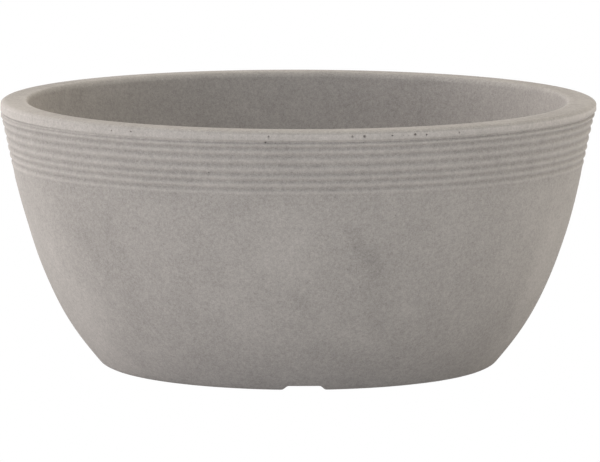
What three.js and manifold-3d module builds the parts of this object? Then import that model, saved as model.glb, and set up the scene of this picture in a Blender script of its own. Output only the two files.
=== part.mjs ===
// Concrete bowl planter: a cast bowl with a ribbed band under its rim, a foot ring
// with drainage notches, and a rubber plug in the drain hole of its floor.
// Millimetres, +Z up. The origin is on the axis, in the plane the foot stands on,
// and the notch that faces -Y is the front one.

import * as THREE from 'three';
import { mergeVertices } from 'three/addons/utils/BufferGeometryUtils.js';
import Module from 'manifold-3d';

// ---- driving dimensions -------------------------------------------------

const HEIGHT = 203;                 // foot plane to rim
const RIM_RADIUS = 228.5;           // outside of the plain lip
const RIM_WALL = 21.7;              // lip to inner edge, seen from above
const RIM_OUTER_ROUND = [7.5, 3.5]; // across and up, from the flat top to the lip's face
const RIM_EDGE_WIDTH = 3.1;         // inner edge to the start of the flat top
const RIM_EDGE_ROUND = 1.3;
const CHAMFER_FOOT = [0.5, 4.6];    // out from the inner edge, and down from the rim
const WALL_TOP = [-0.3, 7];         // where the inner wall's curve starts, measured alike
const LIP_HEIGHT = 7.2;             // rim to the lip's lower edge

const RIDGE_WIDTHS = [4.4, 6, 6.8, 6.8, 5.4, 5.9, 6];   // from the top down
const RIDGE_DEPTH = 1.05;           // groove below crest
const LOWEST_GROOVE_DEPTH = 0.35;   // the last groove fades into the plain wall
const TOP_GROOVE_DROP = 7.8;        // rim to the bottom of the first groove

const WAIST_HEIGHT = 151.5;         // the plain wall starts here
const WAIST_RADIUS = 218.5;
const WAIST_LEAN = 0.212;           // radians from vertical
const WAIST_PULL = 100;             // length of the curve's upper handle
const HEEL_CORNER_RADIUS = 150.8;   // where the wall would meet the ground
const HEEL_LEAN = 0.69;
const HEEL_PULL = 28;
const HEEL_ROUND = 10;

const FOOT_INNER_RADIUS = 122;
const RECESS_HEIGHT = 4;            // underside above the ground, inside the foot
const RECESS_DRAFT = 2;
const NOTCH_COUNT = 4;
const NOTCH_HEIGHT = 3.8;
const NOTCH_WIDTH = 25;             // at the notch's ceiling
const NOTCH_RAMP = 3.5;             // how far each side slopes out on its way down
const NOTCH_ROUND = 1.2;
const NOTCH_INNER_END = 112;
const NOTCH_OUTER_END = 172;
const NOTCH_CUT_BELOW = 1;          // how far the notches' cutter reaches under the foot

const INNER_LEAN = 0.2;
const INNER_PULL = 115;
const FLOOR_RADIUS = 118;           // where the inner curve meets the floor
const FLOOR_HEIGHT = 24.5;
const FLOOR_PULL = 40;
const SEAT_RADIUS = 24;             // flat around the drain hole
const SEAT_HEIGHT = 22;
const DRAIN_RADIUS = 12.5;

const PLUG_SEAT_GAP = 0.1;
const PLUG_STEM_RADIUS = 11.2;
const PLUG_RIB_RADIUS = 12.2;
const PLUG_RIB_COUNT = 3;
const PLUG_RIB_PITCH = 4;
const PLUG_RIB_FLAT = 0.8;          // height of each rib's crest
const PLUG_STEM_LENGTH = 14;
const PLUG_STEM_CHAMFER = 1;
const PLUG_FLANGE_RADIUS = 20;
const PLUG_FLANGE_EDGE = 1.4;       // thickness at the flange's edge
const PLUG_FLANGE_THICKNESS = 3;    // at the neck
const PLUG_DOME_TURN = 0.45 * Math.PI;
const PLUG_NECK_RADIUS = 4.5;
const PLUG_NECK_WAIST = 0.5;        // how far the neck draws in halfway up
const PLUG_NECK_HEIGHT = 4;
const PLUG_KNOB_RADIUS = 8;
const PLUG_KNOB_HEIGHT = 5;
const PLUG_KNOB_FOOT = [7.2, 0.5];  // radius and height of the knob's lower edge
const PLUG_BELLY_HEIGHT = 1.75;     // where the knob is widest, above the neck
const PLUG_KNOB_TURN = 0.4 * Math.PI;

const BOWL_SEGMENTS = 72;
const PLUG_SEGMENTS = 40;
const HEEL_STEPS = 4;
const WALL_STEPS = 11;
const RIDGE_STEPS = 4;
const RIM_STEPS = 4;
const EDGE_STEPS = 2;
const INSIDE_STEPS = 13;
const NOTCH_STEPS = 3;
const DOME_STEPS = 4;
const KNOB_STEPS = 3;
const MERGE_DISTANCE = 1e-4;

// ---- helpers ------------------------------------------------------------

const wasm = await Module();
wasm.setup();

const at = (radius, height) => new THREE.Vector2(radius, height);

// A point some distance away, in a direction leaning from vertical.
const leaning = (start, lean, distance) =>
  at(start.x + distance * Math.sin(lean), start.y + distance * Math.cos(lean));

// Points of an ellipse's arc. Angles are counted from the outward direction.
function arc(centre, radiusAcross, radiusUp, from, to, steps) {
  const points = [];
  for (let step = 0; step <= steps; step += 1) {
    const angle = from + (to - from) * step / steps;
    const across = radiusAcross * Math.cos(angle);
    const up = radiusUp * Math.sin(angle);
    points.push(at(centre.x + across, centre.y + up));
  }
  return points;
}

function curve(start, startHandle, endHandle, end, steps) {
  return new THREE.CubicBezierCurve(start, startHandle, endHandle, end).getPoints(steps);
}

// A corner rounded by a curve from the point before it to the one after it.
function eased(before, corner, after, steps) {
  return new THREE.QuadraticBezierCurve(before, corner, after).getPoints(steps);
}

// A profile of (radius, height) points, turned about the Z axis.
function turned(profile, segments) {
  return new THREE.LatheGeometry(profile, segments).rotateX(Math.PI / 2);
}

function toSolid(geometry) {
  const bare = geometry.clone();
  bare.deleteAttribute('normal');
  bare.deleteAttribute('uv');
  const merged = mergeVertices(bare, MERGE_DISTANCE);
  return new wasm.Manifold(new wasm.Mesh({
    numProp: 3,
    vertProperties: new Float32Array(merged.attributes.position.array),
    triVerts: new Uint32Array(merged.index.array),
  }));
}

function toGeometry(solid) {
  const mesh = solid.getMesh();
  const geometry = new THREE.BufferGeometry();
  geometry.setAttribute('position', new THREE.BufferAttribute(mesh.vertProperties, 3));
  geometry.setIndex(new THREE.BufferAttribute(mesh.triVerts, 1));
  geometry.computeVertexNormals();
  return geometry;
}

// ---- bowl ---------------------------------------------------------------

// The line that the ridges' crests and the top of the plain wall lie on.
const crestRadius = (height) =>
  WAIST_RADIUS + Math.tan(WAIST_LEAN) * (height - WAIST_HEIGHT);

// From the ground up: the rounded heel, then the swelling plain wall.
function heelAndWall() {
  const turn = Math.PI / 2 - HEEL_LEAN;
  const tangent = HEEL_ROUND * Math.tan(turn / 2);
  const heelCentre = at(HEEL_CORNER_RADIUS - tangent, HEEL_ROUND);
  const wallFoot = leaning(at(HEEL_CORNER_RADIUS, 0), HEEL_LEAN, tangent);
  const waist = at(WAIST_RADIUS, WAIST_HEIGHT);
  const heel = arc(heelCentre, HEEL_ROUND, HEEL_ROUND, -Math.PI / 2, -HEEL_LEAN, HEEL_STEPS);
  const wall = curve(
    wallFoot, leaning(wallFoot, HEEL_LEAN, HEEL_PULL),
    leaning(waist, WAIST_LEAN, -WAIST_PULL), waist, WALL_STEPS,
  );
  return [...heel, ...wall.slice(1)];
}

// Rounded ridges, from the lowest groove up to the one under the lip.
function ridges() {
  const points = [];
  const widths = [...RIDGE_WIDTHS].reverse();
  let groove = HEIGHT - TOP_GROOVE_DROP - widths.reduce((sum, width) => sum + width, 0);
  let depth = LOWEST_GROOVE_DEPTH;
  for (const width of widths) {
    for (let step = 0; step < RIDGE_STEPS; step += 1) {
      const share = step / RIDGE_STEPS;
      if (share >= 0.5) depth = RIDGE_DEPTH;
      const dip = depth * (1 + Math.cos(2 * Math.PI * share)) / 2;
      const height = groove + share * width;
      points.push(at(crestRadius(height) - dip, height));
    }
    groove += width;
  }
  points.push(at(crestRadius(groove) - RIDGE_DEPTH, groove));
  return points;
}

// A point measured outwards from the rim's inner edge and down from its top.
const fromInnerEdge = (out, down) => at(RIM_RADIUS - RIM_WALL + out, HEIGHT - down);

// The lip, its rounded top, and the inner edge with its chamfer.
function rim() {
  const [roundAcross, roundUp] = RIM_OUTER_ROUND;
  const lipBottom = at(RIM_RADIUS, HEIGHT - LIP_HEIGHT);
  const outerCentre = at(RIM_RADIUS - roundAcross, HEIGHT - roundUp);
  const edge = fromInnerEdge(RIM_EDGE_WIDTH, 0);
  const chamferFoot = fromInnerEdge(...CHAMFER_FOOT);
  const roundEnd = edge.clone().lerp(chamferFoot, RIM_EDGE_ROUND / edge.distanceTo(chamferFoot));
  return [
    lipBottom,
    ...arc(outerCentre, roundAcross, roundUp, 0, Math.PI / 2, RIM_STEPS),
    ...eased(fromInnerEdge(RIM_EDGE_WIDTH + RIM_EDGE_ROUND, 0), edge, roundEnd, EDGE_STEPS),
    chamferFoot,
    fromInnerEdge(...WALL_TOP),
  ];
}

// Inner wall and floor, down to the flat around the drain hole.
function inside() {
  const fall = Math.atan2(FLOOR_HEIGHT - SEAT_HEIGHT, FLOOR_RADIUS - SEAT_RADIUS);
  const top = fromInnerEdge(...WALL_TOP);
  const floorEdge = at(FLOOR_RADIUS, FLOOR_HEIGHT);
  const wall = curve(
    top, leaning(top, INNER_LEAN, -INNER_PULL),
    leaning(floorEdge, Math.PI / 2 - fall, FLOOR_PULL), floorEdge, INSIDE_STEPS,
  );
  return [...wall.slice(1), at(SEAT_RADIUS, SEAT_HEIGHT)];
}

// Drain hole and recessed underside, out to the foot ring.
function underside() {
  return [
    at(DRAIN_RADIUS, SEAT_HEIGHT),
    at(DRAIN_RADIUS, RECESS_HEIGHT),
    at(FOOT_INNER_RADIUS - RECESS_DRAFT, RECESS_HEIGHT),
    at(FOOT_INNER_RADIUS, 0),
  ];
}

// A channel with sloping sides, cut across the foot ring where it faces -Y.
function notchCutter() {
  const slope = NOTCH_RAMP / NOTCH_HEIGHT;
  const top = NOTCH_WIDTH / 2;
  const bottom = top + slope * (NOTCH_HEIGHT + NOTCH_CUT_BELOW);
  const section = new THREE.Shape();
  section.moveTo(-bottom, -NOTCH_CUT_BELOW);
  section.lineTo(bottom, -NOTCH_CUT_BELOW);
  section.lineTo(top + slope * NOTCH_ROUND, NOTCH_HEIGHT - NOTCH_ROUND);
  section.quadraticCurveTo(top, NOTCH_HEIGHT, top - NOTCH_ROUND, NOTCH_HEIGHT);
  section.lineTo(NOTCH_ROUND - top, NOTCH_HEIGHT);
  section.quadraticCurveTo(
    -top, NOTCH_HEIGHT, -top - slope * NOTCH_ROUND, NOTCH_HEIGHT - NOTCH_ROUND,
  );
  return new THREE.ExtrudeGeometry(section, {
    depth: NOTCH_OUTER_END - NOTCH_INNER_END,
    bevelEnabled: false,
    curveSegments: NOTCH_STEPS,
  })
    .translate(0, 0, NOTCH_INNER_END)
    .rotateX(Math.PI / 2);
}

function bowlGeometry() {
  const profile = [...heelAndWall(), ...ridges(), ...rim(), ...inside(), ...underside()];
  profile.push(profile[0].clone());
  let solid = toSolid(turned(profile, BOWL_SEGMENTS));
  for (let notch = 0; notch < NOTCH_COUNT; notch += 1) {
    const cutter = notchCutter().rotateZ(2 * Math.PI * notch / NOTCH_COUNT);
    solid = solid.subtract(toSolid(cutter));
  }
  return toGeometry(solid);
}

// ---- drain plug ---------------------------------------------------------

// Sealing ribs that swell out of the stem, from its lower end up.
function plugStem(underFlange) {
  const stemEnd = underFlange - PLUG_STEM_LENGTH;
  const points = [at(0, stemEnd), at(PLUG_STEM_RADIUS - PLUG_STEM_CHAMFER, stemEnd)];
  for (let rib = 0; rib < PLUG_RIB_COUNT; rib += 1) {
    const low = stemEnd + PLUG_STEM_CHAMFER + rib * PLUG_RIB_PITCH;
    const middle = low + PLUG_RIB_PITCH / 2;
    points.push(at(PLUG_STEM_RADIUS, low));
    points.push(at(PLUG_RIB_RADIUS, middle - PLUG_RIB_FLAT / 2));
    points.push(at(PLUG_RIB_RADIUS, middle + PLUG_RIB_FLAT / 2));
  }
  points.push(at(PLUG_STEM_RADIUS, underFlange));
  return points;
}

// A domed flange that rests on the seat.
function plugFlange(underFlange) {
  const dome = PLUG_FLANGE_THICKNESS - PLUG_FLANGE_EDGE;
  const across = PLUG_FLANGE_RADIUS - PLUG_NECK_RADIUS;
  const centre = at(PLUG_NECK_RADIUS, underFlange + PLUG_FLANGE_EDGE);
  return [
    at(PLUG_FLANGE_RADIUS, underFlange),
    ...arc(centre, across, dome, 0, PLUG_DOME_TURN, DOME_STEPS),
  ];
}

// The neck and the round knob that fingers pull.
function plugKnob(neckFoot) {
  const knobFoot = neckFoot + PLUG_NECK_HEIGHT;
  const belly = at(0, knobFoot + PLUG_BELLY_HEIGHT);
  const crown = PLUG_KNOB_HEIGHT - PLUG_BELLY_HEIGHT;
  const [footRadius, footRise] = PLUG_KNOB_FOOT;
  return [
    at(PLUG_NECK_RADIUS, neckFoot),
    at(PLUG_NECK_RADIUS - PLUG_NECK_WAIST, neckFoot + PLUG_NECK_HEIGHT / 2),
    at(PLUG_NECK_RADIUS, knobFoot),
    at(footRadius, knobFoot + footRise),
    ...arc(belly, PLUG_KNOB_RADIUS, crown, 0, PLUG_KNOB_TURN, KNOB_STEPS),
    at(0, knobFoot + PLUG_KNOB_HEIGHT),
  ];
}

function plugGeometry() {
  const underFlange = SEAT_HEIGHT + PLUG_SEAT_GAP;
  return turned([
    ...plugStem(underFlange),
    ...plugFlange(underFlange),
    ...plugKnob(underFlange + PLUG_FLANGE_THICKNESS),
  ], PLUG_SEGMENTS);
}

// ---- assembly -----------------------------------------------------------

function named(name, geometry, material) {
  const mesh = new THREE.Mesh(geometry, material);
  mesh.name = name;
  return mesh;
}

const concrete = new THREE.MeshStandardMaterial({
  color: 0x9c9790, roughness: 0.95, metalness: 0,
});
const rubber = new THREE.MeshStandardMaterial({
  color: 0x26272a, roughness: 0.7, metalness: 0,
});

const planter = new THREE.Group();
planter.add(
  named('bowl_shell', bowlGeometry(), concrete),
  named('drain_plug', plugGeometry(), rubber),
);

export default planter;
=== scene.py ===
import math

import bmesh
import bpy
import numpy as np
from mathutils import Matrix, Vector


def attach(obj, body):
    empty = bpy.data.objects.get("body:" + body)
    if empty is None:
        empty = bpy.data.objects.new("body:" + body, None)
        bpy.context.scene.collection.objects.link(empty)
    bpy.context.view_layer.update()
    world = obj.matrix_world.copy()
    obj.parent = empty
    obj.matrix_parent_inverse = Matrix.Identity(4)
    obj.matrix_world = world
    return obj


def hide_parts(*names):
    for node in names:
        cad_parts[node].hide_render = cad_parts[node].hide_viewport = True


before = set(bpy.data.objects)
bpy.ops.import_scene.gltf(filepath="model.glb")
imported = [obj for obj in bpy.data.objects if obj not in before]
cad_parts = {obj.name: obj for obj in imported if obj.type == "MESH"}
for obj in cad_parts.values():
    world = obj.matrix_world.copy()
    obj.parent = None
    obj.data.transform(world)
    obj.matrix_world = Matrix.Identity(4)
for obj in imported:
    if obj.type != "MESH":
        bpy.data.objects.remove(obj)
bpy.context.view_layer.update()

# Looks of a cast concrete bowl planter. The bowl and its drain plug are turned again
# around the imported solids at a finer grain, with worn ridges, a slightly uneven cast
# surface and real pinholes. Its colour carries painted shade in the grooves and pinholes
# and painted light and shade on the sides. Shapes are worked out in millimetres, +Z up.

MM = 0.001
SEED = 1847

# ---- camera ---------------------------------------------------------------

CAMERA_DISTANCE = 4.57              # metres from the bowl's axis, level
CAMERA_HEIGHT = 0.6856
CAMERA_AZIMUTH = math.radians(-1.72)
CAMERA_PITCH = 0.12723              # radians, looking down
CAMERA_YAW = -0.0003
CAMERA_ROLL = 0.0017
CAMERA_LENS = 359.09                # millimetres, like the sensor's width
CAMERA_SENSOR = 36
CAMERA_REACH = 100                  # metres: the farthest that it sees


def add_camera():
    data = bpy.data.cameras.new("camera")
    data.lens = CAMERA_LENS
    data.sensor_width = CAMERA_SENSOR
    data.clip_end = CAMERA_REACH
    camera = bpy.data.objects.new("camera", data)
    place = Vector((
        CAMERA_DISTANCE * math.sin(CAMERA_AZIMUTH),
        -CAMERA_DISTANCE * math.cos(CAMERA_AZIMUTH),
        CAMERA_HEIGHT,
    ))
    camera.matrix_world = (
        Matrix.Translation(place)
        @ Matrix.Rotation(CAMERA_YAW + CAMERA_AZIMUTH, 4, "Z")
        @ Matrix.Rotation(math.pi / 2 - CAMERA_PITCH, 4, "X")
        @ Matrix.Rotation(CAMERA_ROLL, 4, "Z")
    )
    bpy.context.scene.collection.objects.link(camera)
    bpy.context.scene.camera = camera


# ---- profile helpers, in (radius, height) -----------------------------------

def at(radius, height):
    return np.array((radius, height), float)


def leaning(start, lean, distance):
    """A point some distance from start, in a direction leaning from vertical."""
    return start + distance * at(math.sin(lean), math.cos(lean))


def line(start, end, steps):
    """Points from start towards end, without end itself."""
    share = np.arange(steps)[:, None] / steps
    return start + share * (end - start)


def arc(centre, radius, first, last, steps):
    """Points of a circle's arc. Angles are counted from the outward direction."""
    angle = np.linspace(first, last, steps + 1)
    return centre + radius * np.column_stack((np.cos(angle), np.sin(angle)))


def curve(start, start_handle, end_handle, end, steps):
    """Points of a cubic curve, without its end."""
    share = np.arange(steps)[:, None] / steps
    rest = 1 - share
    return (
        rest ** 3 * start + 3 * rest ** 2 * share * start_handle
        + 3 * rest * share ** 2 * end_handle + share ** 3 * end
    )


def eased(before, corner, after, steps):
    """A corner rounded by a curve from the point before it to the one after it."""
    share = np.linspace(0, 1, steps + 1)[:, None]
    return (1 - share) ** 2 * before + 2 * share * (1 - share) * corner + share ** 2 * after


# ---- bowl profile ---------------------------------------------------------

HEIGHT = 203
RIM_RADIUS = 228.5
RIM_WALL = 21.7
RIM_OUTER_ROUND = (4.5, 2.5)        # across and up, from the flat top to the lip's face
# The top falls off in a soft round to a crisp edge: where the flat top ends, the corner
# that the round eases, and where the inner wall starts, each out from the inner edge and
# down from the rim.
FLAT_END = (5.2, 0)
ROUND_CORNER = (1.3, 0)
WALL_TOP = (-0.7, 3.9)
CRISP_EDGE = 0.5
RIM_CROWN = 0.4
LIP_RISE = 1.8                      # height in which the lip swells out of the top groove

RIDGE_WIDTHS = (4.4, 6, 6.8, 6.8, 5.4, 5.9, 6)    # from the top down
RIDGE_DEPTH = 1.05
LOWEST_GROOVE_DEPTH = 0.35
FIRST_RIDGE_SWELL = 0.35            # how far the ridge under the lip stands prouder
TOP_GROOVE_DROP = 7.8

WAIST = at(218.5, 151.5)            # the plain wall ends here
WAIST_LEAN = 0.212
WAIST_PULL = 100
HEEL_CORNER_RADIUS = 150.8
HEEL_LEAN = 0.69
HEEL_PULL = 28
HEEL_ROUND = 10

FOOT_INNER_RADIUS = 122
FOOT_EDGE_ROUND = 0.6
RECESS_HEIGHT = 4
RECESS_DRAFT = 2

INNER_LEAN = 0.2
INNER_PULL = 115
FLOOR_EDGE = at(118, 24.5)
FLOOR_PULL = 40
SEAT = at(24, 22)
DRAIN_RADIUS = 12.5
DRAIN_EDGE_ROUND = 0.8

# How many steps each stretch of the profile has.
FOOT_EDGE_STEPS = 3
FOOT_STEPS = 5
HEEL_STEPS = 7
WALL_STEPS = 44
RIDGE_STEPS = 9
LIP_FOOT_STEPS = 7
OUTER_ROUND_STEPS = 9
FLAT_STEPS = 6
INNER_ROUND_STEPS = 14
CRISP_EDGE_STEPS = 2
INNER_WALL_STEPS = 24
FLOOR_STEPS = 6
SEAT_STEPS = 2
DRAIN_EDGE_STEPS = 3
RECESS_STEPS = 6


def crest_radius(height):
    """The line that the ridges' crests and the top of the plain wall lie on."""
    return WAIST[0] + math.tan(WAIST_LEAN) * (height - WAIST[1])


def foot():
    inner = at(FOOT_INNER_RADIUS, 0)
    turn = math.pi / 2 - HEEL_LEAN
    heel_start = at(HEEL_CORNER_RADIUS - HEEL_ROUND * math.tan(turn / 2), 0)
    edge = eased(
        inner + at(-RECESS_DRAFT / RECESS_HEIGHT, 1) * FOOT_EDGE_ROUND, inner,
        inner + at(FOOT_EDGE_ROUND, 0), FOOT_EDGE_STEPS,
    )
    return np.vstack((edge[:-1], line(edge[-1], heel_start, FOOT_STEPS)))


def heel_and_wall():
    turn = math.pi / 2 - HEEL_LEAN
    tangent = HEEL_ROUND * math.tan(turn / 2)
    centre = at(HEEL_CORNER_RADIUS - tangent, HEEL_ROUND)
    wall_foot = leaning(at(HEEL_CORNER_RADIUS, 0), HEEL_LEAN, tangent)
    heel = arc(centre, HEEL_ROUND, -math.pi / 2, -HEEL_LEAN, HEEL_STEPS)
    wall = curve(
        wall_foot, leaning(wall_foot, HEEL_LEAN, HEEL_PULL),
        leaning(WAIST, WAIST_LEAN, -WAIST_PULL), WAIST, WALL_STEPS,
    )
    return np.vstack((heel[:-1], wall))


def ridges():
    """Rounded ridges, from the lowest groove up to the one under the lip."""
    points = []
    groove = HEIGHT - TOP_GROOVE_DROP - sum(RIDGE_WIDTHS)
    depth = LOWEST_GROOVE_DEPTH
    for width in reversed(RIDGE_WIDTHS):
        for step in range(RIDGE_STEPS):
            share = step / RIDGE_STEPS
            if share >= 0.5:
                depth = RIDGE_DEPTH
            dip = depth * (1 + math.cos(2 * math.pi * share)) / 2
            height = groove + share * width
            points.append(at(crest_radius(height) - dip, height))
        groove += width
    points.append(at(crest_radius(groove) - RIDGE_DEPTH, groove))
    points = np.array(points)
    share = np.arange(RIDGE_STEPS) / RIDGE_STEPS
    points[-1 - RIDGE_STEPS:-1, 0] += FIRST_RIDGE_SWELL * np.sin(math.pi * share) ** 2
    return points


def lip_foot():
    """The lip's lower edge, which swells out of the top groove."""
    groove = ridges()[-1]
    share = np.arange(1, LIP_FOOT_STEPS + 1)[:, None] / LIP_FOOT_STEPS
    out = (RIM_RADIUS - groove[0]) * (1 - np.cos(math.pi * share)) / 2
    return groove + np.hstack((out, LIP_RISE * share))


def from_inner_edge(out, down):
    return at(RIM_RADIUS - RIM_WALL + out, HEIGHT - down)


def rim():
    """The lip, its rounded top with a slight crown, and the round down to the inner edge."""
    across, up = RIM_OUTER_ROUND
    angle = np.linspace(0, math.pi / 2, OUTER_ROUND_STEPS + 1)
    centre = at(RIM_RADIUS - across, HEIGHT - up)
    outer = centre + np.column_stack((across * np.cos(angle), up * np.sin(angle)))
    round_start, corner, edge = (
        from_inner_edge(*place) for place in (FLAT_END, ROUND_CORNER, WALL_TOP)
    )
    inner = eased(round_start, corner, edge, INNER_ROUND_STEPS)[:-1]
    wall_start = leaning(edge, INNER_LEAN, -CRISP_EDGE)
    flat = line(outer[-1], round_start, FLAT_STEPS)[1:]
    crisp = eased(inner[-1], edge, wall_start, CRISP_EDGE_STEPS)[1:-1]
    points = np.vstack((lip_foot(), outer, flat, inner, crisp))
    middle = RIM_RADIUS - RIM_WALL / 2
    share = (points[:, 0] - middle) / (RIM_WALL / 2)
    top = points[:, 1] > HEIGHT - up
    points[top, 1] += RIM_CROWN * (1 - share[top] ** 2)
    return points


def inside():
    fall = math.atan2(FLOOR_EDGE[1] - SEAT[1], FLOOR_EDGE[0] - SEAT[0])
    top = leaning(from_inner_edge(*WALL_TOP), INNER_LEAN, -CRISP_EDGE)
    return np.vstack((
        curve(
            top, leaning(top, INNER_LEAN, -INNER_PULL),
            leaning(FLOOR_EDGE, math.pi / 2 - fall, FLOOR_PULL), FLOOR_EDGE,
            INNER_WALL_STEPS,
        ),
        line(FLOOR_EDGE, SEAT, FLOOR_STEPS),
    ))


def drain_and_underside():
    ease = DRAIN_EDGE_ROUND
    top = at(DRAIN_RADIUS, SEAT[1])
    bottom = at(DRAIN_RADIUS, RECESS_HEIGHT)
    recess = at(FOOT_INNER_RADIUS - RECESS_DRAFT, RECESS_HEIGHT)
    return np.vstack((
        line(SEAT, top + at(ease, 0), SEAT_STEPS),
        eased(top + at(ease, 0), top, top - at(0, ease), DRAIN_EDGE_STEPS),
        eased(bottom + at(0, ease), bottom, bottom + at(ease, 0), DRAIN_EDGE_STEPS),
        line(bottom + at(ease, 0), recess, RECESS_STEPS)[1:],
        recess[None],
    ))


# ---- turned meshes ----------------------------------------------------------

def cast_noise(azimuth, along, seed, longest, shortest, waves):
    """A smooth uneven field round the bowl, about -1 to 1. Lengths are millimetres."""
    rng = np.random.default_rng(seed)
    field = np.zeros(np.broadcast(azimuth, along).shape)
    for _ in range(waves):
        length = longest * (shortest / longest) ** rng.random()
        heading = rng.uniform(-math.pi, math.pi)
        turns = round(2 * math.pi * RIM_RADIUS / length * math.cos(heading))
        rise = 2 * math.pi / length * math.sin(heading)
        field += np.sin(turns * azimuth + rise * along + rng.uniform(0, 2 * math.pi))
    return field / math.sqrt(waves)


def turned_places(radius, azimuth, height):
    """Points in metres, row after row, from radii and heights turned to the azimuths."""
    return np.stack(np.broadcast_arrays(
        radius * np.sin(azimuth), -radius * np.cos(azimuth), height,
    ), axis=-1).reshape(-1, 3) * MM


def read_places(mesh):
    """The mesh's points in metres, as one flat array."""
    places = np.empty(len(mesh.vertices) * 3, np.float32)
    mesh.vertices.foreach_get("co", places)
    return places


def turned_mesh(name, radius, azimuth, height):
    """A closed mesh from grids of radius and height. Rows follow a closed profile."""
    rows, columns = radius.shape
    index = np.arange(rows * columns).reshape(rows, columns)
    next_row = np.roll(index, -1, axis=0)
    faces = np.stack((
        index, np.roll(index, -1, axis=1), np.roll(next_row, -1, axis=1), next_row,
    ), axis=-1).reshape(-1, 4)
    mesh = bpy.data.meshes.new(name)
    places = turned_places(radius, azimuth, height)
    mesh.from_pydata(places.tolist(), [], faces.tolist())
    return mesh


def add_object(name, mesh, material):
    mesh.materials.clear()
    mesh.materials.append(material)
    piece = bpy.data.objects.new(name, mesh)
    bpy.context.scene.collection.objects.link(piece)
    return piece


def smooth(mesh, sharp_angle):
    mesh.shade_smooth()
    mesh.set_sharp_from_angle(angle=sharp_angle)


# ---- bowl ---------------------------------------------------------------------

COLUMN_STEP = 0.9                   # degrees
NOTCH_COLUMN_STEP = 0.3
NOTCH_SIDE = (4.2, 6.9)             # degrees either side of a notch's middle
NOTCH_COUNT = 4
NOTCH_HEIGHT = 3.8
NOTCH_WIDTH = 25
NOTCH_RAMP = 3.5
NOTCH_ROUND = 0.5
NOTCH_REACH = (112, 172)
NOTCH_LOWEST = -2                   # where a notch's sides are lower, nothing is raised

# Unevenness of the cast walls and wear of the ridges: depth, longest and shortest wave,
# how many waves, and the share of it that each of bowl_parts() has.
WAVES = (0.1, 120, 28, 30)
WAVE_SHARES = (0, 1, 1, 0.5, 1, 0)
WEAR = (0.09, 30, 7, 60)
WEAR_SHARES = (0, 0, 1, 0, 0, 0)
# The band isn't quite level or round: azimuth in degrees, how far it hangs off level
# there, and how far it stands out.
BAND_SHIFT = (
    (-180, 0, 0), (-120, -0.6, 0.3), (-90, -1.1, 0.6), (-80, -1.7, 0.6), (-70, -1.9, 0.5),
    (-60, -1.5, 0.4), (-40, -1, 0.2), (-20, -0.5, 0.1), (-5, 0.1, 0), (10, 0.25, 0),
    (50, 0.25, -0.2), (90, 0, -0.5), (120, 0, -0.3), (180, 0, 0),
)
BAND_FADE_BELOW = (110, 150)        # heights on the plain wall
SAG_SHARES = (0, 1, 1, 0.5)         # at those two, the top groove and the lip's foot
SWELL_SHARES = (0, 1, 1, 0)
SKIN = 6                            # the outer surface lies within this of the crest line
SHARP_ANGLE = math.radians(38)      # of the bowl and the plug


def bowl_azimuths():
    """Column angles in radians, closer together where the notches' sides are."""
    degrees = np.arange(0, 360, COLUMN_STEP)
    for notch in range(NOTCH_COUNT):
        middle = 360 / NOTCH_COUNT * notch
        away = np.abs((degrees - middle + 180) % 360 - 180)
        degrees = degrees[(away < NOTCH_SIDE[0]) | (away > NOTCH_SIDE[1])]
        side = np.arange(NOTCH_SIDE[0], NOTCH_SIDE[1] + NOTCH_COLUMN_STEP / 2, NOTCH_COLUMN_STEP)
        degrees = np.concatenate((degrees, (middle + side) % 360, (middle - side) % 360))
    return np.radians(np.sort(degrees))


def cut_notches(radius, azimuth, height):
    """Raises the foot to the notches' ceilings and sloping sides."""
    for notch in range(NOTCH_COUNT):
        turn = azimuth - 2 * math.pi * notch / NOTCH_COUNT
        aside = np.abs(radius * np.sin(turn))
        out = radius * np.cos(turn)
        slope = NOTCH_HEIGHT / NOTCH_RAMP * (NOTCH_WIDTH / 2 + NOTCH_RAMP - aside)
        ceiling = soft_lower(np.full_like(slope, NOTCH_HEIGHT), slope)
        inside_reach = (out > NOTCH_REACH[0]) & (out < NOTCH_REACH[1]) & (ceiling > NOTCH_LOWEST)
        raised = -soft_lower(-height, -ceiling)
        height = np.where(inside_reach, raised, height)
    return height


def soft_lower(first, second):
    """The lower of two heights, with the corner between them eased."""
    return (first + second - np.sqrt((first - second) ** 2 + NOTCH_ROUND ** 2)) / 2


def bowl_parts():
    """The profile's parts in order, each closed on the next."""
    return foot(), heel_and_wall(), ridges(), rim(), inside(), drain_and_underside()


def part_rows(*values):
    """A value for each part of the bowl's profile, repeated for its rows."""
    return np.repeat(values, [len(part) for part in bowl_parts()])[:, None]


def band_shift(radius, azimuth, height):
    """How far the ridged band stands out and hangs off level, fading above and below."""
    places, sags, swells = np.array(BAND_SHIFT).T
    turn = (np.degrees(azimuth) + 180) % 360 - 180
    high = HEIGHT - TOP_GROOVE_DROP
    band = (*BAND_FADE_BELOW, high, high + LIP_RISE)
    below_round = height < HEIGHT - RIM_OUTER_ROUND[1]
    near = (radius > crest_radius(height) - SKIN) & below_round
    sag = np.interp(turn, places, sags) * np.interp(height, band, SAG_SHARES)
    swell = np.interp(turn, places, swells) * np.interp(height, band, SWELL_SHARES)
    return np.where(near, swell, 0), np.where(near, sag, 0)


def bowl_mesh():
    profile = np.vstack(bowl_parts())
    azimuth = bowl_azimuths()[None, :]
    radius = np.repeat(profile[:, :1], azimuth.size, axis=1)
    height = np.repeat(profile[:, 1:], azimuth.size, axis=1)
    for seed, (depth, *sizes), shares in (
        (SEED, WAVES, WAVE_SHARES), (SEED + 1, WEAR, WEAR_SHARES),
    ):
        radius += depth * part_rows(*shares) * cast_noise(azimuth, height, seed, *sizes)
    swell, sag = band_shift(radius, azimuth, height)
    radius += swell
    height += sag
    height = cut_notches(radius, azimuth, height)
    return turned_mesh("bowl_body", radius, azimuth, height)


# ---- pinholes -------------------------------------------------------------------

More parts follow.
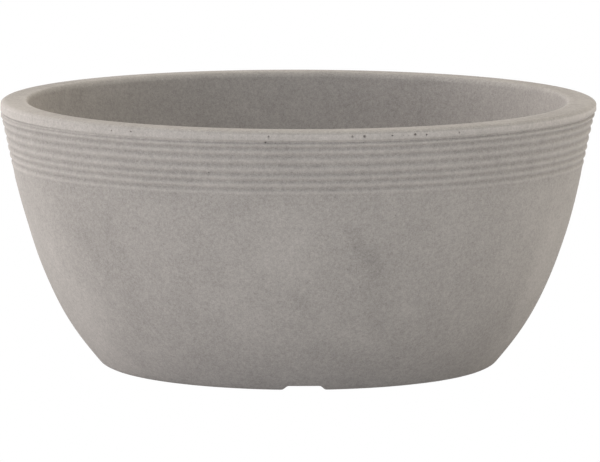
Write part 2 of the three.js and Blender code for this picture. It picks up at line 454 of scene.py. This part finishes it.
# Air bubbles that opened on the lip and the ridges: azimuth in degrees, radius, height,
# bubble radius.
LIP_BUBBLES = (
    (-38.8, 228.3, 198.8, 0.75), (-34.4, 228.3, 199.2, 0.8), (-18.4, 228.3, 200, 0.5),
    (-7.2, 228.3, 199.6, 0.75), (-7.8, 226.9, 195, 0.7), (8.2, 228.3, 199.4, 0.9),
    (10.5, 228.2, 199.3, 1.15), (10.4, 226.9, 194.7, 0.6), (15.8, 228.3, 199.4, 0.8),
    (18, 228.3, 199.1, 0.55), (19, 228.3, 199, 0.55), (20.3, 228.2, 199.5, 1.05),
    (22.6, 228.3, 199.1, 0.75), (29.5, 228.3, 199.2, 0.7), (36.4, 226.8, 195.2, 0.6),
    (16.8, 221.8, 171.3, 0.6), (-18.9, 221.8, 171.3, 0.6),
)
# A patch of fine pits: middle and spread in azimuth and height, and how many.
ROUGH_PATCH = ((8.6, 3.2), (108, 14), 22)
SCATTERED_BUBBLES = 80
BUBBLE_RADII = (0.25, 0.55)
BUBBLE_CLEARANCE = 2.5
BUBBLE_FINENESS = 2
BUBBLE_SQUEEZE = (0.75, 1.25)
BUBBLE_LUMPS = 0.12
# Scattered bubbles lie on heel_and_wall() above this row, and on this many of inside().
PITTED_FROM = 9
PITTED_INSIDE = 20


def bubble_places(rng):
    """Random places on the outer wall, the rim and the inner wall."""
    walls = np.vstack((
        heel_and_wall()[PITTED_FROM:], ridges(), rim(), inside()[:PITTED_INSIDE],
    ))
    steps = np.linalg.norm(np.diff(walls, axis=0), axis=1) * walls[1:, 0]
    chance = np.cumsum(steps) / steps.sum()
    while True:
        row = int(np.searchsorted(chance, rng.random()))
        radius, height = walls[row]
        azimuth = rng.uniform(-math.pi, math.pi)
        yield azimuth, radius, height, rng.uniform(*BUBBLE_RADII)


def add_bubble(bm, rng, azimuth, radius, height, size):
    """A lumpy ball whose middle lies just under the surface."""
    matrix = (
        Matrix.Translation(turned_point(azimuth, radius, height) * MM)
        @ Matrix.Rotation(rng.uniform(0, math.pi), 4, "Z")
    )
    ball = bmesh.ops.create_icosphere(
        bm, subdivisions=BUBBLE_FINENESS, radius=1, matrix=Matrix(),
    )
    squeeze = rng.uniform(*BUBBLE_SQUEEZE, 3) * size * MM
    for vert in ball["verts"]:
        lump = 1 + BUBBLE_LUMPS * rng.standard_normal()
        vert.co = matrix @ Vector(np.array(vert.co) * squeeze * lump)


def rough_patch_places(rng):
    """Random places round the middle of the rough patch."""
    wall = heel_and_wall()
    (middle, turn), (level, rise), _ = ROUGH_PATCH
    while True:
        height = rng.normal(level, rise)
        radius = np.interp(height, wall[:, 1], wall[:, 0])
        yield math.radians(rng.normal(middle, turn)), radius, height, rng.uniform(*BUBBLE_RADII)


def bubbles_mesh():
    rng = np.random.default_rng(SEED + 2)
    bubbles = [
        (math.radians(degrees), radius, height, size)
        for degrees, radius, height, size in LIP_BUBBLES
    ]
    centres = [turned_point(*bubble[:3]) for bubble in bubbles]
    add_apart(bubbles, centres, rough_patch_places(rng), ROUGH_PATCH[2])
    add_apart(bubbles, centres, bubble_places(rng), SCATTERED_BUBBLES)
    bm = bmesh.new()
    for bubble in bubbles:
        add_bubble(bm, rng, *bubble)
    mesh = bpy.data.meshes.new("bubbles")
    bm.to_mesh(mesh)
    bm.free()
    return mesh


def add_apart(bubbles, centres, places, count):
    """Adds bubbles from places that lie clear of the ones there are."""
    wanted = len(bubbles) + count
    while len(bubbles) < wanted:
        bubble = next(places)
        centre = turned_point(*bubble[:3])
        if all(np.linalg.norm(centre - other) > BUBBLE_CLEARANCE for other in centres):
            bubbles.append(bubble)
            centres.append(centre)


def turned_point(azimuth, radius, height):
    return np.array((radius * math.sin(azimuth), -radius * math.cos(azimuth), height))


def with_pinholes(piece, material):
    """Takes the bubbles out of the piece and keeps the result as its mesh."""
    bubbles = add_object("bubbles", bubbles_mesh(), material)
    cut = piece.modifiers.new("pinholes", "BOOLEAN")
    cut.operation = "DIFFERENCE"
    cut.solver = "MANIFOLD"
    cut.object = bubbles
    graph = bpy.context.evaluated_depsgraph_get()
    mesh = bpy.data.meshes.new_from_object(piece.evaluated_get(graph))
    piece.modifiers.clear()
    old = piece.data
    piece.data = mesh
    bpy.data.meshes.remove(old)
    spare = bubbles.data
    bpy.data.objects.remove(bubbles)
    bpy.data.meshes.remove(spare)
    mesh.name = piece.name


# ---- wear, tone, and painted light and shade of the cast surface -------------------

# The lowest groove's tones, up to its ridge's crest, darker in the groove as painted shade:
# places in shares of a ridge, tones.
LOWEST_GROOVE_TONE = ((0, 0.18, 0.5), (-0.3, -0.6, 1))
# How light the rim is, by distance along its profile from the top groove's bottom.
RIM_TONE = (
    (0, 0.8), (1.2, 0.4), (2.4, 1.4), (3.2, 3), (5.8, 3.2), (6.8, 0.4), (8.8, -0.4),
    (12, -1.3), (20, -1.5), (24, -0.8), (30, -0.3),
)
# Painted shade inside the pinholes: points that lie off the profile are darkened by this tone.
PINHOLE_PAINTED_SHADE = -3.5
PINHOLE_SHADE_GAPS = (0.28, 0.7)          # how far off the profile the dark starts and is full
PINHOLE_SHADE_LOWEST = 10                 # under this height only the notches are off the profile
# Clouds in the cast surface, and painted light: the lighter ones on the left and right
# sides, low on the wall and along the rim, stand in for the light from the sides. Azimuth,
# height, half length and half width, tilt in degrees, tone.
SMUDGES_AND_SIDE_LIGHT = (
    (-75, 203, 80, 3, 0, 1.3), (85, 203, 60, 3, 0, 0.8), (-4.4, 117, 36, 32, 0, 1),
    (-13.6, 61, 30, 24, 0, 0.7), (-48.6, 108, 50, 22, -42, -0.8), (-40.5, 56, 26, 20, -60, -0.3),
    (-62, 38, 30, 40, 0, 1.2), (-67, 92, 22, 32, 0, 0.7), (65, 92, 20, 38, 0, 1),
    (15.4, 85, 18, 38, 0, -0.4), (52.5, 25, 24, 24, 0, -0.5), (8.9, 24, 36, 11, 0, -0.35),
    (41.7, 12, 20, 9, 0, -0.4), (12.2, 108, 26, 6.5, -56, -1), (-0.9, 72, 18, 5.5, -45, -0.6),
    (23.4, 64, 17, 6.5, -39, 0.6), (11, 44, 20, 6.5, -15, 0.6), (-17.4, 147, 28, 6, 0, -0.5),
    (57.9, 45, 20, 7, -56, -0.7), (-26.4, 30, 11, 12, 0, -0.4), (-43, 135, 24, 14, 0, -0.4),
)
# More of them at random places behind, between these least and greatest values.
BACK_SMUDGES = 9
BACK_SMUDGE_LEAST = (100, 20, 20, 12, -70, -0.8)
BACK_SMUDGE_MOST = (260, 140, 45, 35, 70, 0.8)
# The ones inside, which are painted light and shade: the round into the mouth lighter at
# the sides and behind, the inner walls under it darker at the sides and behind. Then the
# rows of rim() that count as inside: from the middle of its flat top inwards.
INNER_PAINTED_LIGHT_AND_SHADE = (
    (-85, 202, 70, 3, 0, 1.6), (85, 203, 60, 2.5, 0, 0.6), (-88, 190, 34, 9, 0, -0.9),
    (90, 190, 46, 10, 0, -1.2), (150, 180, 60, 30, 0, -0.7), (-140, 201, 70, 4, 0, 0.5),
)
ROUND_ROWS = FLAT_STEPS // 2 + INNER_ROUND_STEPS + CRISP_EDGE_STEPS - 1


def ridge_tone():
    """1 on the ridges' worn crests and -1 in the grooves, which is painted shade, for each row
    of ridges().
    """
    share = np.arange(RIDGE_STEPS * len(RIDGE_WIDTHS) + 1) / RIDGE_STEPS
    tone = -np.cos(2 * math.pi * share)
    lowest = share < 0.5
    tone[lowest] = np.interp(share[lowest], *LOWEST_GROOVE_TONE)
    tone[-1] = RIM_TONE[0][1]
    return tone


def rim_tone():
    steps = np.linalg.norm(np.diff(rim(), axis=0, prepend=ridges()[-1:]), axis=1)
    return np.interp(np.cumsum(steps), *np.array(RIM_TONE).T)


def profile_tone():
    """How light each row of the profile is: only the ridges and the rim differ."""
    ends = np.cumsum([len(part) for part in bowl_parts()])
    tone = np.zeros(ends[-1])
    tone[ends[1]:ends[2]] = ridge_tone()
    tone[ends[2]:ends[3]] = rim_tone()
    return tone


def nearest_on_profile(places):
    """The nearest row of the profile, with its fraction, and how far off it is."""
    starts = np.vstack(bowl_parts())
    steps = np.roll(starts, -1, axis=0) - starts
    row = np.zeros(len(places))
    best = np.full(len(places), np.inf)
    for index, (start, step) in enumerate(zip(starts, steps)):
        share = np.clip((places - start) @ step / (step @ step), 0, 1)
        gap = np.linalg.norm(places - start - share[:, None] * step, axis=1)
        closer = gap < best
        row[closer] = index + share[closer]
        best[closer] = gap[closer]
    return row, best


def back_smudges():
    rng = np.random.default_rng(SEED + 3)
    return [
        tuple(rng.uniform(BACK_SMUDGE_LEAST, BACK_SMUDGE_MOST)) for _ in range(BACK_SMUDGES)
    ]


def smudge_tone(smudges, azimuth, radius, height):
    tone = np.zeros(len(azimuth))
    for middle, level, long, short, tilt, change in smudges:
        turn = (azimuth - math.radians(middle) + math.pi) % (2 * math.pi) - math.pi
        aside, up = radius * turn, height - level
        lean = math.radians(tilt)
        along = aside * math.cos(lean) + up * math.sin(lean)
        across = up * math.cos(lean) - aside * math.sin(lean)
        tone += change * np.exp(-(along / long) ** 2 - (across / short) ** 2)
    return tone


def mark_wear_and_painted_light(mesh):
    """Stores how light each point is: worn edges, painted shade in grooves and pinholes, random
    clouds, and painted light and shade.
    """
    x, y, height = read_places(mesh).reshape(-1, 3).T / MM
    radius = np.hypot(x, y)
    azimuth = np.arctan2(x, -y)
    swell, sag = band_shift(radius, azimuth, height)
    row, gap = nearest_on_profile(np.column_stack((radius - swell, height - sag)))
    row_tone = profile_tone()
    tone = np.interp(row, np.arange(len(row_tone)), row_tone)
    # Painted shade in the pinholes.
    pinhole_shade = np.interp(gap, PINHOLE_SHADE_GAPS, (0, 1)) * (height > PINHOLE_SHADE_LOWEST)
    tone += PINHOLE_PAINTED_SHADE * pinhole_shade
    outer = row < sum(len(part) for part in bowl_parts()[:4]) - ROUND_ROWS
    for side, smudges in ((outer, (*SMUDGES_AND_SIDE_LIGHT, *back_smudges())), (~outer, INNER_PAINTED_LIGHT_AND_SHADE)):
        tone[side] += smudge_tone(smudges, azimuth[side], radius[side], height[side])
    layer = mesh.attributes.new("wear_and_painted_light", "FLOAT", "POINT")
    layer.data.foreach_set("value", tone.astype(np.float32))


INNER_SHIFT = -0.8                  # along X: the inner mould stood off the middle
SHIFT_FROM = (120, 199)             # heights where the shift starts and is full
SHIFT_SKIN = 2                      # under the outer surface, and over the inner one
ROUND_TIGHTER = 0.75                # how much narrower the top's soft round is at the sides
TIGHTER_POWER = 8                   # how soon that fades away from the sides


def settle_mouth(mesh):
    """Narrows the top's round at the sides, and moves the mouth's inner side a little."""
    places = read_places(mesh)
    x, y, height = places.reshape(-1, 3).T / MM
    radius = np.hypot(x, y)
    edge = from_inner_edge(*WALL_TOP)
    out = (radius - edge[0]) / (RIM_RADIUS - RIM_OUTER_ROUND[0] - edge[0])
    on_top = (height > edge[1]) & (out > 0) & (out < 1)
    tighter = ROUND_TIGHTER * (x / radius) ** TIGHTER_POWER * (1 - out)
    scale = np.where(on_top, 1 - tighter * (radius - edge[0]) / radius, 1)
    deep = (crest_radius(height) - radius - SHIFT_SKIN) / (RIM_WALL - 2 * SHIFT_SKIN)
    share = np.clip(deep, 0, 1)
    share *= np.interp(height, SHIFT_FROM, (0, 1))
    places[0::3] = (x * scale + INNER_SHIFT * share) * MM
    places[1::3] = y * scale * MM
    mesh.vertices.foreach_set("co", places)


def add_bowl(material):
    piece = add_object("bowl_body", bowl_mesh(), material)
    with_pinholes(piece, material)
    mark_wear_and_painted_light(piece.data)
    settle_mouth(piece.data)
    smooth(piece.data, SHARP_ANGLE)
    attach(piece, "bowl")
    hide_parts("bowl_shell")


# ---- drain plug -----------------------------------------------------------------

PLUG_COLUMNS = 96
PLUG_UNDER_FLANGE = 22.1
PLUG_STEM_RADIUS = 11.2
PLUG_STEM_LENGTH = 14
PLUG_STEM_ROUND = 1
PLUG_RIB_RADIUS = 12.2
PLUG_RIB_COUNT = 3
PLUG_RIB_PITCH = 4
PLUG_RIB_FULLNESS = 1.3             # over 1, the ribs are cut flat at their radius
PLUG_FLANGE_RADIUS = 20
PLUG_FLANGE_EDGE = 1.4
PLUG_FLANGE_ROUND = 0.4
PLUG_FLANGE_THICKNESS = 3
PLUG_FLANGE_STEP = 1                # how far off the stem its flat underside starts
PLUG_BEAD = 0.35                    # a moulded ring near the flange's edge
PLUG_BEAD_RADIUS = 16.5
PLUG_BEAD_WIDTH = 1.6
PLUG_NECK_RADIUS = 4.5
PLUG_NECK_HEIGHT = 4
PLUG_NECK_WAIST = 0.5
PLUG_NECK_FLARE = 0.5
PLUG_NECK_FILLET = 1.2              # how far off the neck the domed top ends
PLUG_KNOB_RADIUS = 8
PLUG_KNOB_HEIGHT = 5
PLUG_KNOB_BELLY = 0.35              # share of the knob's height that lies under its belly
PLUG_KNOB_START = -1                # radians: where under the belly the knob leaves its neck
PLUG_CORE = 0.4                     # radius of the flat spot at each end of the axis

# How many steps each stretch of the plug's profile has.
PLUG_END_STEPS = 3
PLUG_STEM_ROUND_STEPS = 4
PLUG_RIB_STEPS = 10
PLUG_FLANGE_STEPS = 4
PLUG_FLANGE_ROUND_STEPS = 3
PLUG_DOME_STEPS = 25
PLUG_NECK_STEPS = 8
PLUG_KNOB_STEPS = 17


def plug_stem():
    end = PLUG_UNDER_FLANGE - PLUG_STEM_LENGTH
    corner = at(PLUG_STEM_RADIUS, end)
    inner, upper = corner - at(PLUG_STEM_ROUND, 0), corner + at(0, PLUG_STEM_ROUND)
    share = np.arange(PLUG_RIB_COUNT * PLUG_RIB_STEPS) / PLUG_RIB_STEPS
    swell = np.clip(PLUG_RIB_FULLNESS * np.sin(math.pi * (share % 1)) ** 2, 0, 1)
    ribs = np.column_stack((
        PLUG_STEM_RADIUS + (PLUG_RIB_RADIUS - PLUG_STEM_RADIUS) * swell,
        upper[1] + share * PLUG_RIB_PITCH,
    ))
    return np.vstack((
        line(at(PLUG_CORE, end), inner, PLUG_END_STEPS),
        eased(inner, corner, upper, PLUG_STEM_ROUND_STEPS)[:-1],
        ribs,
        at(PLUG_STEM_RADIUS, PLUG_UNDER_FLANGE),
    ))


def plug_flange():
    outer = at(PLUG_FLANGE_RADIUS, PLUG_UNDER_FLANGE)
    before, after = outer - at(PLUG_FLANGE_ROUND, 0), outer + at(0, PLUG_FLANGE_ROUND)
    dome = PLUG_FLANGE_THICKNESS - PLUG_FLANGE_EDGE
    radius = np.linspace(before[0], PLUG_NECK_RADIUS + PLUG_NECK_FILLET, PLUG_DOME_STEPS + 1)
    share = (radius - PLUG_NECK_RADIUS) / (PLUG_FLANGE_RADIUS - PLUG_NECK_RADIUS)
    bead = PLUG_BEAD * np.exp(-((radius - PLUG_BEAD_RADIUS) / (PLUG_BEAD_WIDTH / 2)) ** 2)
    height = PLUG_UNDER_FLANGE + PLUG_FLANGE_EDGE + dome * np.sqrt(1 - share ** 2) + bead
    return np.vstack((
        line(
            at(PLUG_STEM_RADIUS + PLUG_FLANGE_STEP, PLUG_UNDER_FLANGE), before,
            PLUG_FLANGE_STEPS,
        ),
        eased(before, outer, after, PLUG_FLANGE_ROUND_STEPS),
        np.column_stack((radius, height)),
    ))


def plug_knob():
    foot = PLUG_UNDER_FLANGE + PLUG_FLANGE_THICKNESS
    share = np.linspace(0, 1, PLUG_NECK_STEPS + 1)
    waist = PLUG_NECK_WAIST * np.sin(math.pi * share)
    neck = np.column_stack((PLUG_NECK_RADIUS - waist, foot + share * PLUG_NECK_HEIGHT))
    neck[0] += at(PLUG_NECK_FLARE, 0)
    knob_foot = foot + PLUG_NECK_HEIGHT
    belly = at(PLUG_CORE, knob_foot + PLUG_KNOB_BELLY * PLUG_KNOB_HEIGHT)
    angle = np.linspace(PLUG_KNOB_START, math.pi / 2, PLUG_KNOB_STEPS + 1)
    up = np.where(angle < 0, PLUG_KNOB_BELLY, 1 - PLUG_KNOB_BELLY) * PLUG_KNOB_HEIGHT
    knob = belly + np.column_stack((
        (PLUG_KNOB_RADIUS - PLUG_CORE) * np.cos(angle), up * np.sin(angle),
    ))
    return np.vstack((neck, knob))


def plug_mesh():
    profile = np.vstack((plug_stem(), plug_flange(), plug_knob()))
    azimuth = np.linspace(0, 2 * math.pi, PLUG_COLUMNS, endpoint=False)
    places = turned_places(profile[:, :1], azimuth, profile[:, 1:])
    index = np.arange(len(places)).reshape(-1, PLUG_COLUMNS)
    faces = np.stack((
        index[:-1], np.roll(index, -1, axis=1)[:-1], np.roll(index, -1, axis=1)[1:],
        index[1:],
    ), axis=-1).reshape(-1, 4).tolist()
    faces += [index[0, ::-1].tolist(), index[-1].tolist()]
    mesh = bpy.data.meshes.new("drain_plug_body")
    mesh.from_pydata(places.tolist(), [], faces)
    return mesh


def add_plug(material):
    piece = add_object("drain_plug_body", plug_mesh(), material)
    smooth(piece.data, SHARP_ANGLE)
    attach(piece, "plug")
    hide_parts("drain_plug")


# ---- materials ------------------------------------------------------------------

def node(tree, kind, inputs=None, **settings):
    """Adds a shader node, sets it up, and links or fills its inputs."""
    made = tree.nodes.new("ShaderNode" + kind)
    for name, value in settings.items():
        setattr(made, name, value)
    for key, value in (inputs or {}).items():
        if isinstance(value, bpy.types.NodeSocket):
            tree.links.new(value, made.inputs[key])
        else:
            made.inputs[key].default_value = value
    return made


def math_node(tree, operation, *values):
    inputs = dict(enumerate(values))
    return node(tree, "Math", inputs, operation=operation).outputs[0]


def noise(tree, where, scale, detail, roughness=0.5):
    made = node(tree, "TexNoise", {
        "Vector": where, "Scale": scale, "Detail": detail, "Roughness": roughness,
    })
    return made.outputs["Fac"]


def swaying(tree, where, base, scale, detail, sway):
    """A value that rises from its base by up to sway, where a noise is high."""
    return math_node(tree, "MULTIPLY_ADD", noise(tree, where, scale, detail), sway, base)


def empty_tree(owner):
    """The shader nodes of a material or world, with none in them yet."""
    owner.use_nodes = True
    owner.node_tree.nodes.clear()
    return owner.node_tree


def start_material(name):
    material = bpy.data.materials.new(name)
    tree = empty_tree(material)
    shader = node(tree, "BsdfPrincipled")
    node(tree, "OutputMaterial", {"Surface": shader.outputs[0]})
    where = node(tree, "TexCoord").outputs["Object"]
    return material, tree, shader, where


def finish_material(tree, shader, colour, tone, rough, grain, bump):
    """Links a colour scaled by its tone, a roughness and a bumped grain to the shader."""
    scaled = node(tree, "VectorMath", {0: colour, "Scale": tone}, operation="SCALE")
    tree.links.new(scaled.outputs[0], shader.inputs["Base Color"])
    tree.links.new(rough, shader.inputs["Roughness"])
    strength, distance = bump
    bumped = node(tree, "Bump", {
        "Height": grain, "Strength": strength, "Distance": distance,
    })
    tree.links.new(bumped.outputs[0], shader.inputs["Normal"])


CONCRETE = (0.389, 0.358, 0.341)
CONCRETE_SPECULAR = 0.35
# How far the stored wear and painted light and shade change the colour.
WEAR_AND_PAINTED_LIGHT_TONE = 0.115
# Each layer of colour variation: noise scale per metre, detail, how far it sways.
CONCRETE_LAYERS = (
    (1150, 2, 0.68), (420, 2, 0.44), (170, 2, 0.14), (60, 3, 0.18), (21, 3, 0.12), (7, 2, 0.06),
)
# Roughness is a base, then noise scale, detail and sway. Grain is noise scale, detail and
# roughness. Bump is strength and distance in metres.
CONCRETE_ROUGHNESS = (0.8, 300, 3, 0.16)
CONCRETE_GRAIN = (900, 3, 0.6)
CONCRETE_BUMP = (0.35, 0.0003)


def concrete_material():
    material, tree, shader, where = start_material("cast_concrete")
    tone = 1 - sum(sway for _, _, sway in CONCRETE_LAYERS) / 2
    for layer in CONCRETE_LAYERS:
        tone = swaying(tree, where, tone, *layer)
    # Worn crests and lip, painted shade in grooves and pinholes, and painted light and shade on
    # the sides and inside, stored on the mesh.
    wear_and_painted_light = node(tree, "Attribute", attribute_name="wear_and_painted_light").outputs["Fac"]
    tone = math_node(tree, "MULTIPLY_ADD", wear_and_painted_light, WEAR_AND_PAINTED_LIGHT_TONE, tone)
    rough = swaying(tree, where, *CONCRETE_ROUGHNESS)
    grain = noise(tree, where, *CONCRETE_GRAIN)
    shader.inputs["Specular IOR Level"].default_value = CONCRETE_SPECULAR
    finish_material(tree, shader, CONCRETE, tone, rough, grain, CONCRETE_BUMP)
    return material


RUBBER = (0.03, 0.03, 0.032)
RUBBER_TONE = (0.55, 180, 4, 0.9)
RUBBER_ROUGHNESS = (0.45, 120, 3, 0.25)
RUBBER_GRAIN = (2500, 2)
RUBBER_BUMP = (0.3, 0.0001)


def rubber_material():
    material, tree, shader, where = start_material("black_rubber")
    tone = swaying(tree, where, *RUBBER_TONE)
    rough = swaying(tree, where, *RUBBER_ROUGHNESS)
    grain = noise(tree, where, *RUBBER_GRAIN)
    finish_material(tree, shader, RUBBER, tone, rough, grain, RUBBER_BUMP)
    return material


# ---- floor and light --------------------------------------------------------------

WHITE = (1, 1, 1, 1)
FLOOR_HALF = 20                     # in metres, like the other lengths of the floor
FLOOR_DROP = 0.0002
FLOOR_ALBEDO = 0.5
# The floor's own glow, as lit by the studio: near the bowl, then the rise to the sides
# and behind it, from one distance to another.
FLOOR_GLOW = 0.27
FLOOR_GLOW_ASIDE = 0.52
FLOOR_GLOW_BEHIND = 0.59
FLOOR_GLOW_RISE = (0.1, 0.9)

# Soft lights of the studio round the bowl: azimuth and elevation in degrees (azimuth 0
# is the camera's side, 90 the right), strength and colour.
LIGHT_TIGHTNESS = 8
STUDIO = (
    (-120, 5, 1.84, (1.02, 1, 0.97)),
    (-120, 35, 1.36, (1.02, 1, 0.96)),
    (-120, 65, 0.31, (1.08, 1, 0.8)),
    (-150, 5, 1.02, (1.02, 1, 0.99)),
    (-150, 35, 1.1, (1.03, 1, 0.97)),
    (-60, 5, 1.03, (0.97, 1, 1.02)),
    (-30, 5, 1.19, (0.96, 1, 1.06)),
    (0, 90, 0.67, (1.03, 1, 0.93)),
    (30, 35, 0.38, (0.85, 1, 1.07)),
    (60, 65, 0.6, (0.95, 1, 0.98)),
    (120, 5, 0.77, (1.1, 1, 0.82)),
    (120, 35, 0.77, (1.1, 1, 0.81)),
    (120, 65, 0.62, (1.05, 1, 0.87)),
    (150, 5, 0.48, (1.06, 1, 0.9)),
)


def show_white(tree, kind, lit, output):
    """Ends a tree: white to the camera, and lit to every other ray."""
    white = node(tree, kind, {"Color": WHITE, "Strength": 1})
    seen = node(tree, "LightPath").outputs["Is Camera Ray"]
    both = node(tree, "MixShader", {0: seen, 1: lit.outputs[0], 2: white.outputs[0]})
    node(tree, output, {"Surface": both.outputs[0]})


def floor_glow(tree):
    place = node(tree, "NewGeometry").outputs["Position"]
    parts = node(tree, "SeparateXYZ", {0: place})
    aside = math_node(tree, "ABSOLUTE", parts.outputs[0])
    glow = FLOOR_GLOW
    for distance, rise in ((aside, FLOOR_GLOW_ASIDE), (parts.outputs[1], FLOOR_GLOW_BEHIND)):
        ramp = node(tree, "MapRange", {
            "Value": distance, "From Min": FLOOR_GLOW_RISE[0], "From Max": FLOOR_GLOW_RISE[1],
        }, interpolation_type="SMOOTHSTEP").outputs[0]
        glow = math_node(tree, "MULTIPLY_ADD", ramp, rise, glow)
    return glow


def floor_material():
    """White to the camera. The light that it gives the bowl is dimmer near the bowl."""
    material = bpy.data.materials.new("studio_floor")
    tree = empty_tree(material)
    diffuse = node(tree, "BsdfDiffuse", {"Color": (FLOOR_ALBEDO,) * 3 + (1,)})
    glow = node(tree, "Emission", {"Color": WHITE, "Strength": floor_glow(tree)})
    lit = node(tree, "AddShader", {0: diffuse.outputs[0], 1: glow.outputs[0]})
    show_white(tree, "Emission", lit, "OutputMaterial")
    return material


def add_floor():
    low, high = -FLOOR_HALF, FLOOR_HALF
    corners = [(low, low), (high, low), (high, high), (low, high)]
    mesh = bpy.data.meshes.new("floor")
    mesh.from_pydata([(x, y, -FLOOR_DROP) for x, y in corners], [], [(0, 1, 2, 3)])
    add_object("floor", mesh, floor_material())


def soft_light(tree, where, azimuth, elevation, strength, colour):
    """One light of the studio, which fades evenly all round its middle."""
    side, up = math.radians(azimuth), math.radians(elevation)
    towards = (
        math.sin(side) * math.cos(up), -math.cos(side) * math.cos(up), math.sin(up),
    )
    facing = node(
        tree, "VectorMath", {0: where, 1: towards}, operation="DOT_PRODUCT",
    ).outputs["Value"]
    fall = math_node(tree, "MULTIPLY_ADD", facing, LIGHT_TIGHTNESS, -LIGHT_TIGHTNESS)
    glow = math_node(tree, "EXPONENT", fall)
    tint = tuple(strength * channel for channel in colour)
    return node(tree, "VectorMath", {0: tint, "Scale": glow}, operation="SCALE").outputs[0]


def add_studio_light():
    world = bpy.data.worlds.new("studio")
    bpy.context.scene.world = world
    tree = empty_tree(world)
    where = node(tree, "TexCoord").outputs["Generated"]
    total, *rest = (soft_light(tree, where, *light) for light in STUDIO)
    for light in rest:
        total = node(tree, "VectorMath", {0: total, 1: light}, operation="ADD").outputs[0]
    light = node(tree, "Background", {"Color": total, "Strength": 1})
    show_white(tree, "Background", light, "OutputWorld")


# ---- scene ----------------------------------------------------------------------

add_camera()
add_bowl(concrete_material())
add_plug(rubber_material())
add_floor()
add_studio_light()
bpy.context.scene.view_settings.view_transform = "Standard"
